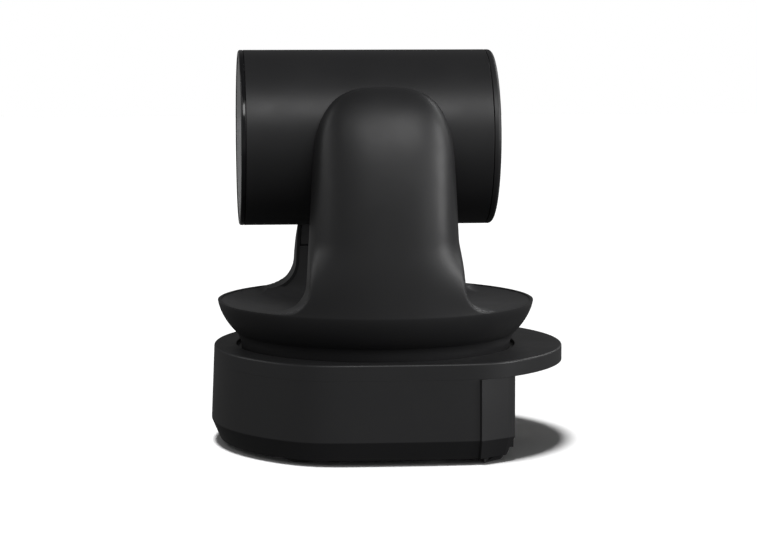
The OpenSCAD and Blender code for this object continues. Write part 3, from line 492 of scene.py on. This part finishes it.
def yoke_shell():
    """Bowl and arms as one skin: the bowl's columns run on up the arms, whose flanks turn in to the gap."""
    foot_half = float(arm_half_at(np.array(SAUCER_Z)))
    foot_x = math.sqrt(SAUCER_R ** 2 - foot_half ** 2)
    turn = math.atan2(foot_half, foot_x - ARM_IN)
    front = np.linspace(-turn, turn, 121)
    flank = np.linspace(turn, math.pi / 2, 19)[1:]
    angles = np.concatenate([-flank[::-1], front, flank])
    first, last = len(flank), len(flank) + len(front) - 1
    reach = [rim_reach(a) for a in front]
    arm_theta = np.array([math.atan2(r * math.sin(a), ARM_IN + r * math.cos(a)) for r, a in zip(reach, front)])
    gap = np.linspace(arm_theta[-1], math.pi - arm_theta[-1], 131)[1:-1]
    theta = np.concatenate([arm_theta, gap, arm_theta + math.pi, gap + math.pi])
    cols = len(theta)
    profile = [(NECK_R - 8, NECK_FOOT), (NECK_R - 1.4, NECK_FOOT),
               (NECK_R - 1.2, PLATE_TOP + 1), (NECK_R - 0.4, BOWL_FLOOR - 1.6)]
    profile += [tuple(q) for q in BOWL_LINE] + [(SAUCER_R, SAUCER_Z)]
    verts = np.concatenate([np.stack([r * np.cos(theta), r * np.sin(theta), np.full(cols, z)], 1)
                            for r, z in profile])
    faces = grid_faces(len(profile), cols, wrap=True)
    rim = (len(profile) - 1) * cols

    heights = SAUCER_Z + FOOT_R * (1 - np.cos(np.linspace(0, math.pi / 2, 22)))[1:]
    heights = np.concatenate([heights, np.linspace(SAUCER_Z + FOOT_R, ARM_ROUND_Z, 26)[1:]])
    top_turn = np.sin(np.linspace(0, math.pi / 2, 40)[1:-1]) ** (2 / ARM_ROUND_N)
    heights = np.concatenate([heights, ARM_ROUND_Z + (ARM_TOP - ARM_ROUND_Z) * top_turn])
    reach = arm_section(angles, heights)
    n = len(angles)
    for side, start_col in ((1, 0), (-1, len(front) + len(gap))):
        foot = []
        for k, a in enumerate(angles):
            if first <= k <= last:
                foot.append(rim + start_col + k - first)
            else:
                y = math.copysign(foot_half, a)
                verts = np.vstack([verts, [[side * (ARM_IN + abs(y / math.tan(a))), side * y, SAUCER_Z]]])
                foot.append(len(verts) - 1)
        below = foot
        for row, z in zip(reach, heights):
            start = len(verts)
            ring = np.stack([side * (ARM_IN + row * np.cos(angles)), side * row * np.sin(angles), np.full(n, z)], 1)
            verts = np.vstack([verts, ring])
            above = list(range(start, start + n))
            faces += [(below[k], below[k + 1], above[k + 1], above[k]) for k in range(n - 1)]
            below = above
        verts = np.vstack([verts, [[side * ARM_IN, 0, ARM_TOP]]])
        faces += [(below[k], below[k + 1], len(verts) - 1) for k in range(n - 1)]
    obj = new_object("yoke_shell_skin", verts, faces)
    thick = obj.modifiers.new("thickness", "SOLIDIFY")
    thick.thickness = SKIN_T * MM
    thick.offset = -1
    bevel(obj, 0.35, 3, angle=55)
    return piece(obj, "yoke", "shell_black", "yoke_shell")


DISH_R = SAUCER_R - 1.1
DISH_FLOOR = 56.5
COVER_SEAM_Z = 80.0
COVER_BLEND = 6.0


def dish_height(r):
    """The saucer's top face: a flat floor that rises to the rim."""
    t = np.clip((r - 40) / (DISH_R - 40), 0, 1)
    return DISH_FLOOR + (SAUCER_Z - 0.15 - DISH_FLOOR) * t ** 2.4


def saucer_field(p):
    x, y, z = np.abs(p[:, 0]), np.abs(p[:, 1]), p[:, 2]
    r = np.hypot(x, y)
    dish = z - dish_height(r)
    half = arm_half_at(z)
    foot = np.maximum(ARM_IN + 0.2 - x, y - half + 0.05)
    top = smooth_min(dish, foot, COVER_BLEND)
    above = np.maximum(x - front_x(y, z) + BOWL_INSET, r - DISH_R)
    inside = np.where(z > SAUCER_Z - 0.3, above, r - np.minimum(DISH_R, bowl_radius(z) - BOWL_INSET))
    return smooth_max(smooth_max(np.maximum(top, z - COVER_SEAM_Z + 0.15), inside, 0.3), 54.8 - z, 0.3)


def saucer_cover():
    low = (-SAUCER_R, -SAUCER_R, 54.0)
    high = (SAUCER_R, SAUCER_R, COVER_SEAM_Z + 1)
    step = 0.8
    obj = surface_net("saucer_cover_dish", saucer_field, low, high, step)
    obj.data.set_sharp_from_angle(angle=math.radians(45))
    return piece(obj, "yoke", "cover_black", "saucer_cover")


def arm_cover(side):
    """The flat cover on an arm's inner face, with a round hole for the tilt shaft."""
    inset = SKIN_T + 0.15
    turn = np.sin(np.linspace(0, math.pi / 2, 40)[:-2]) ** (2 / ARM_ROUND_N)
    heights = np.concatenate([np.linspace(COVER_SEAM_Z + 0.15, ARM_ROUND_Z, 24)[:-1],
                              ARM_ROUND_Z + (ARM_TOP - ARM_ROUND_Z) * turn])
    drop = inset * np.clip((heights - ARM_ROUND_Z) / (ARM_TOP - ARM_ROUND_Z), 0, 1)
    right = np.stack([arm_half_at(heights) - inset, heights - drop], 1)
    outline = np.vstack([right, right[::-1] * [-1, 1]])
    centre = np.array([0, TILT_Z])
    angle = np.arctan2(*(outline - centre).T[::-1])
    order = np.argsort(angle)
    outline = outline[order]
    angle = angle[order]
    hole_r = 12.0
    hole = centre + hole_r * np.stack([np.cos(angle), np.sin(angle)], 1)
    x0, x1 = ARM_IN + 0.35, ARM_IN + 1.8
    rings = [(x1, outline), (x0 + 0.35, outline), (x0, centre + (outline - centre) * 0.992),
             (x0, centre + (outline - centre) * 0.6 + (hole - centre) * 0.4),
             (x0, hole + (hole - centre) * 0.03), (x0 + 0.35, hole), (x1, hole)]
    n = len(outline)
    verts = np.concatenate([np.column_stack([np.full(n, side * x), ring]) for x, ring in rings])
    faces = grid_faces(len(rings), n, wrap=True, flip=side > 0)
    obj = new_object("arm_cover_plate_" + ("right" if side > 0 else "left"), verts, faces)
    mark_edges(obj, 40)
    return piece(obj, "yoke", "cover_black", "arm_cover_" + ("right" if side > 0 else "left"))


# ---- head ----

HEAD_AT = (0, 0, TILT_Z)
BOSS_FOOT = 32.5
SHAFT_CLEAR_R = 6.1


def head_shells():
    wall = 2.3
    barrel = closed_profile(
        [(HEAD_R - wall, BEZEL_Y + 0.1), (HEAD_R, BEZEL_Y + 0.1),
         (HEAD_R, CAP_SEAM - SEAM_GAP), (HEAD_R - wall, CAP_SEAM - SEAM_GAP)],
        [0.2, 0.18, 0.22, 0.2])
    obj = lathe("head_barrel_skin", barrel, "y", HEAD_AT, 256)
    mark_edges(obj, 50)
    piece(obj, "head", "shell_black", "head_barrel")
    for side in (-1, 1):
        boss = rounded([(7.5, BOSS_FOOT), (14, BOSS_FOOT), (14, BARREL_HIGH[0]), (SHAFT_CLEAR_R, BARREL_HIGH[0]),
                        (SHAFT_CLEAR_R, BOSS_FOOT)], [0.2, 0.8, 0.5])
        hub = lathe("head_boss_" + ("right" if side > 0 else "left"), boss * [1, side], "x", HEAD_AT, 96)
        mark_edges(hub, 50)
        piece(hub, "head", "shell_black")
    cap = rounded([(0, HEAD_BACK - 2.2), (HEAD_R - 5, HEAD_BACK - 2.2), (HEAD_R - 5, CAP_SEAM - 2),
                   (HEAD_R - 2.5, CAP_SEAM - 2), (HEAD_R - 2.5, CAP_SEAM + SEAM_GAP), (HEAD_R, CAP_SEAM + SEAM_GAP),
                   (HEAD_R, HEAD_BACK), (0, HEAD_BACK)],
                  [0.5, 0.2, 0.2, 0.1, 0.22, 1.8], 8)
    obj = lathe("head_rear_cap_skin", cap, "y", HEAD_AT, 256)
    mark_edges(obj, 50)
    piece(obj, "head", "shell_black", "head_rear_cap")


def head_front():
    ring = closed_profile(
        [(GLASS_R - 1.6, BEZEL_Y + 0.6), (HEAD_R - 2.5, BEZEL_Y + 0.6),
         (HEAD_R - 2.5, BEZEL_Y - 0.1), (HEAD_R, BEZEL_Y - 0.1),
         (HEAD_R, HEAD_FRONT), (GLASS_R + 0.1, HEAD_FRONT),
         (GLASS_R + 0.1, GLASS_HIGH[1]), (GLASS_R - 1.6, GLASS_HIGH[1])],
        [0.1, 0.1, 0.1, 0.2, 0.9, 0.25, 0.1, 0.1])
    obj = lathe("front_bezel_ring", ring, "y", HEAD_AT, 256)
    mark_edges(obj, 50)
    piece(obj, "head", "bezel_gloss", "front_bezel")


# ---- base ----

def base_radius(angle, half, radius):
    """Plan outline about the plate's centre: a circle cut by two flat sides, with the corners eased."""
    ease = 2.5
    flat = half / np.maximum(np.abs(np.cos(angle)), 1e-3)
    low = np.minimum(flat, radius)
    return low - ease * np.log(np.exp(-(flat - low) / ease) + np.exp(-(radius - low) / ease))


def top_cover():
    angles = np.radians(np.arange(0, 360, 1.0))
    base = np.stack([np.cos(angles), np.sin(angles)], 1)
    rings = []

    over_wall = np.clip((0.55 - np.sin(angles)) / 0.3, 0, 1)
    lean = FLARE_OUT / (PLATE_TOP - FLARE_Z)

    def ring(shrink, z):
        out = lean * (PLATE_TOP - z) * over_wall - shrink
        r = base_radius(angles, SIDE_HALF + out, PLATE_R + out)
        rings.append(np.column_stack([r * base[:, 0], PLATE_Y + r * base[:, 1], np.full(len(angles), z)]))

    for shrink, z in rounded([(30, PLATE_BOTTOM), (0, PLATE_BOTTOM), (0, PLATE_TOP), (3, PLATE_TOP)], [0.05, 0.9], 6):
        ring(shrink, z)
    groove_z = PLATE_TOP - 1.8
    groove = rounded([(COLLAR_R + 1.5, PLATE_TOP), (COLLAR_R, PLATE_TOP), (COLLAR_R, groove_z), (20, groove_z)],
                     [0.3, 0.3], 4)
    for r, z in groove:
        rings.append(np.column_stack([r * base[:, 0], r * base[:, 1], np.full(len(angles), z)]))
    verts = np.concatenate(rings)
    obj = new_object("base_plate_skin", verts, grid_faces(len(rings), len(angles), wrap=True))
    mark_edges(obj, 40)
    return piece(obj, "base", "shell_black", "base_top_cover")


def front_outline():
    """Plan outline of the base wall from the right side's seam round the front to the left one."""
    start = math.atan2(SEAM_Y - PLATE_Y, SIDE_HALF)
    angles = np.linspace(start, -math.pi - start, 260)
    r = base_radius(angles, SIDE_HALF, PLATE_R)
    return np.stack([r * np.cos(angles), PLATE_Y + r * np.sin(angles)], 1)


def rear_outline(rear_out, seam_out):
    """Plan line from the panel's opening past the chamfered corner to the seam, moved out by the two distances."""
    corner = rear_out * (math.sqrt(2) - 1)
    back = (REAR_HALF - CHAMFER + corner, PANEL_Y + rear_out)
    side = (REAR_HALF + rear_out, PANEL_Y - CHAMFER + corner)
    opening = (min(PANEL_EDGE, back[0] - 0.6), back[1])
    seam = (SIDE_HALF - 0.05 + seam_out, SEAM_Y + SEAM_GAP)
    line = rounded([opening, back, side, seam], [0.25, 0.5], 5)
    return np.vstack([line[:-1], np.linspace(line[-2], line[-1], 12)[1:]])


def offset_line(line, distance):
    """Moves an open plan line outwards, to its left as it runs clockwise round the base."""
    step = np.gradient(line, axis=0)
    step /= np.maximum(np.linalg.norm(step, axis=1), 1e-9)[:, None]
    normal = np.stack([-step[:, 1], step[:, 0]], 1)
    return line + normal * distance


def base_wall():
    lean = FLARE_OUT / (PLATE_TOP - FLARE_Z)
    profile = rounded([(-FLARE_IN - 2.5, BASE_Z), (-FLARE_IN, BASE_Z), (FLARE_OUT, FLARE_Z),
                       (lean * (PLATE_TOP - PLATE_BOTTOM), PLATE_BOTTOM)], [0.3, 1.0], 5)
    rear_profile = rounded([(-FLARE_IN - 4, BASE_Z), (-FLARE_IN - FLARE_OUT, BASE_Z),
                            (0, FLARE_Z), (0, PLATE_BOTTOM)], [0.3, 1.0], 5)
    verts, faces = [], []
    front = front_outline()
    for d, z in profile:
        verts += [(x, y, z) for x, y in offset_line(front, d)]
    faces += grid_faces(len(profile), len(front), flip=True)
    for side in (1, -1):
        start = len(verts)
        for (d, z), (rear_d, _) in zip(profile, rear_profile):
            line = rear_outline(rear_d, d) * [side, 1]
            verts += [(x, y, z) for x, y in line[::side]]
        faces += grid_faces(len(profile), len(line), start=start, flip=True)
    sill_z = span("rear_panel")[0][2] - 0.1
    sill_d = np.interp(sill_z, [z for _, z in rear_profile], [d for d, _ in rear_profile])
    sill = [(d, z) for d, z in rear_profile if z < sill_z] + [(sill_d, sill_z), (-3.0, sill_z)]
    start, across = len(verts), np.linspace(-PANEL_EDGE, PANEL_EDGE, 40)
    for d, z in sill:
        verts += [(x, PANEL_Y + d, z) for x in across]
    faces += grid_faces(len(sill), len(across), start=start, flip=True)
    obj = new_object("base_wall_skin", verts, faces)
    thick = obj.modifiers.new("thickness", "SOLIDIFY")
    thick.thickness = 2.0 * MM
    thick.offset = -1
    bevel(obj, 0.08, 2, angle=60)
    mark_edges(obj, 40)
    return piece(obj, "base", "shell_black", "base_wall")


# ---- stage ----

def look_at(obj, target):
    direction = Vector(target) - obj.location
    obj.rotation_euler = direction.to_track_quat("-Z", "Y").to_euler()


def camera():
    """A long lens on the camera's right side, a little in front of it and above."""
    distance = 1.100
    elevation = math.radians(6.74)
    turn = math.radians(5.0)
    target = Vector((0, 1.3 * MM, 71 * MM))
    back = Vector((math.cos(elevation) * math.cos(turn), -math.cos(elevation) * math.sin(turn), math.sin(elevation)))
    data = bpy.data.cameras.new("camera")
    data.sensor_width = 36
    data.lens = 121.29
    data.clip_start = 0.05
    data.clip_end = 50
    obj = bpy.data.objects.new("camera", data)
    bpy.context.scene.collection.objects.link(obj)
    obj.location = target + back * distance
    look_at(obj, target)
    bpy.context.scene.camera = obj


def area_light(name, place, target, size, power, colour=(1, 1, 1)):
    data = bpy.data.lights.new(name, "AREA")
    data.shape = "RECTANGLE"
    data.size, data.size_y = size
    data.energy = power
    data.color = colour
    obj = bpy.data.objects.new(name, data)
    bpy.context.scene.collection.objects.link(obj)
    obj.location = place
    look_at(obj, target)
    return obj


def paper():
    mat = bpy.data.materials.new("floor_paper")
    mat.use_nodes = True
    nodes, links = mat.node_tree.nodes, mat.node_tree.links
    shader = nodes["Principled BSDF"]
    shader.inputs["Roughness"].default_value = 0.95
    shader.inputs["Specular IOR Level"].default_value = 0.1
    grain = nodes.new("ShaderNodeTexNoise")
    grain.inputs["Scale"].default_value = 300
    ramp = nodes.new("ShaderNodeMapRange")
    ramp.inputs["To Min"].default_value = 0.90
    ramp.inputs["To Max"].default_value = 0.93
    links.new(grain.outputs["Fac"], ramp.inputs["Value"])
    links.new(ramp.outputs["Result"], shader.inputs["Base Color"])
    return mat


def room():
    """White to the camera; to everything else a dim room, brightest near the horizon on the +X side."""
    world = bpy.data.worlds.new("studio")
    bpy.context.scene.world = world
    world.use_nodes = True
    nodes, links = world.node_tree.nodes, world.node_tree.links
    nodes.clear()
    out = nodes.new("ShaderNodeOutputWorld")
    seen = nodes.new("ShaderNodeBackground")
    seen.inputs["Color"].default_value = (1, 1, 1, 1)
    felt = nodes.new("ShaderNodeBackground")
    felt.inputs["Color"].default_value = (1, 1, 1, 1)
    place = nodes.new("ShaderNodeTexCoord")
    split = nodes.new("ShaderNodeSeparateXYZ")
    height = nodes.new("ShaderNodeMapRange")
    height.inputs["From Min"].default_value = -1.0
    ramp = nodes.new("ShaderNodeValToRGB")
    steps = ((-1.0, 0.05), (-0.35, 0.09), (-0.12, 0.32), (0.12, 0.26), (0.45, 0.20), (0.8, 0.12), (1.0, 0.14))
    while len(ramp.color_ramp.elements) < len(steps):
        ramp.color_ramp.elements.new(0.5)
    for element, (z, strength) in zip(ramp.color_ramp.elements, steps):
        element.position = (z + 1) / 2
        element.color = (strength, strength, strength, 1)
    side = nodes.new("ShaderNodeMapRange")
    side.inputs["From Min"].default_value = -0.7
    side.inputs["From Max"].default_value = 0.7
    side.inputs["To Min"].default_value = 0.45
    side.inputs["To Max"].default_value = 1.0
    both = nodes.new("ShaderNodeMath")
    both.operation = "MULTIPLY"
    links.new(split.outputs["Z"], height.inputs["Value"])
    links.new(height.outputs["Result"], ramp.inputs["Fac"])
    links.new(split.outputs["X"], side.inputs["Value"])
    links.new(ramp.outputs["Color"], both.inputs[0])
    links.new(side.outputs["Result"], both.inputs[1])
    links.new(both.outputs["Value"], felt.inputs["Strength"])
    path = nodes.new("ShaderNodeLightPath")
    mix = nodes.new("ShaderNodeMixShader")
    links.new(place.outputs["Generated"], split.inputs["Vector"])
    links.new(path.outputs["Is Camera Ray"], mix.inputs["Fac"])
    links.new(felt.outputs["Background"], mix.inputs[1])
    links.new(seen.outputs["Background"], mix.inputs[2])
    links.new(mix.outputs["Shader"], out.inputs["Surface"])


def studio():
    reach = 2500
    corners = [(-reach, -reach, -0.05), (reach, -reach, -0.05), (reach, reach, -0.05), (-reach, reach, -0.05)]
    floor = new_object("floor", corners,
                       [(0, 1, 2, 3)], smooth=False)
    floor.data.materials.append(paper())
    floor.visible_diffuse = False
    floor.visible_glossy = False
    room()

    not_floor = bpy.data.collections.new("all_but_the_floor")
    not_floor.objects.link(floor)
    not_floor.collection_objects[0].light_linking.link_state = "EXCLUDE"
    only_floor = bpy.data.collections.new("floor_alone")
    only_floor.objects.link(floor)

    aim = (0, 0, 0.08)
    boxes = [
        area_light("front_strip", (1.12, 0.30, 1.16), aim, (1.1, 0.40), 9.0),
        area_light("front_right_box", (1.10, 1.10, 0.49), aim, (0.6, 0.8), 1.8),
        area_light("front_left_box", (0.98, -0.57, 1.21), aim, (0.8, 0.6), 1.4),
        area_light("right_box", (0.40, 1.52, 0.62), aim, (0.6, 0.9), 12.0),
        area_light("left_box", (-0.60, -1.40, 0.75), aim, (0.6, 0.8), 2.0),
        area_light("nose_box", (0.10, -1.60, 0.60), aim, (0.9, 0.7), 1.6),
        area_light("back_box", (-0.90, 1.30, 0.90), aim, (0.9, 0.7), 5.0),
    ]
    for box in boxes:
        box.light_linking.receiver_collection = not_floor
    suns = (("overhead_sun", (0.10, -0.16, 1.6), 3.6, 14), ("low_sun", (0.4, -1.0, 1.3), 0.12, 30))
    for name, place, power, spread in suns:
        data = bpy.data.lights.new(name, "SUN")
        data.energy = power
        data.angle = math.radians(spread)
        sun = bpy.data.objects.new(name, data)
        bpy.context.scene.collection.objects.link(sun)
        sun.location = place
        look_at(sun, (0, 0, 0))
        sun.light_linking.receiver_collection = only_floor
    bpy.context.scene.view_settings.view_transform = "Standard"


camera()
studio()
dress_cad_nodes()
yoke_shell()
saucer_cover()
arm_cover(1)
arm_cover(-1)
head_shells()
head_front()
top_cover()
base_wall()
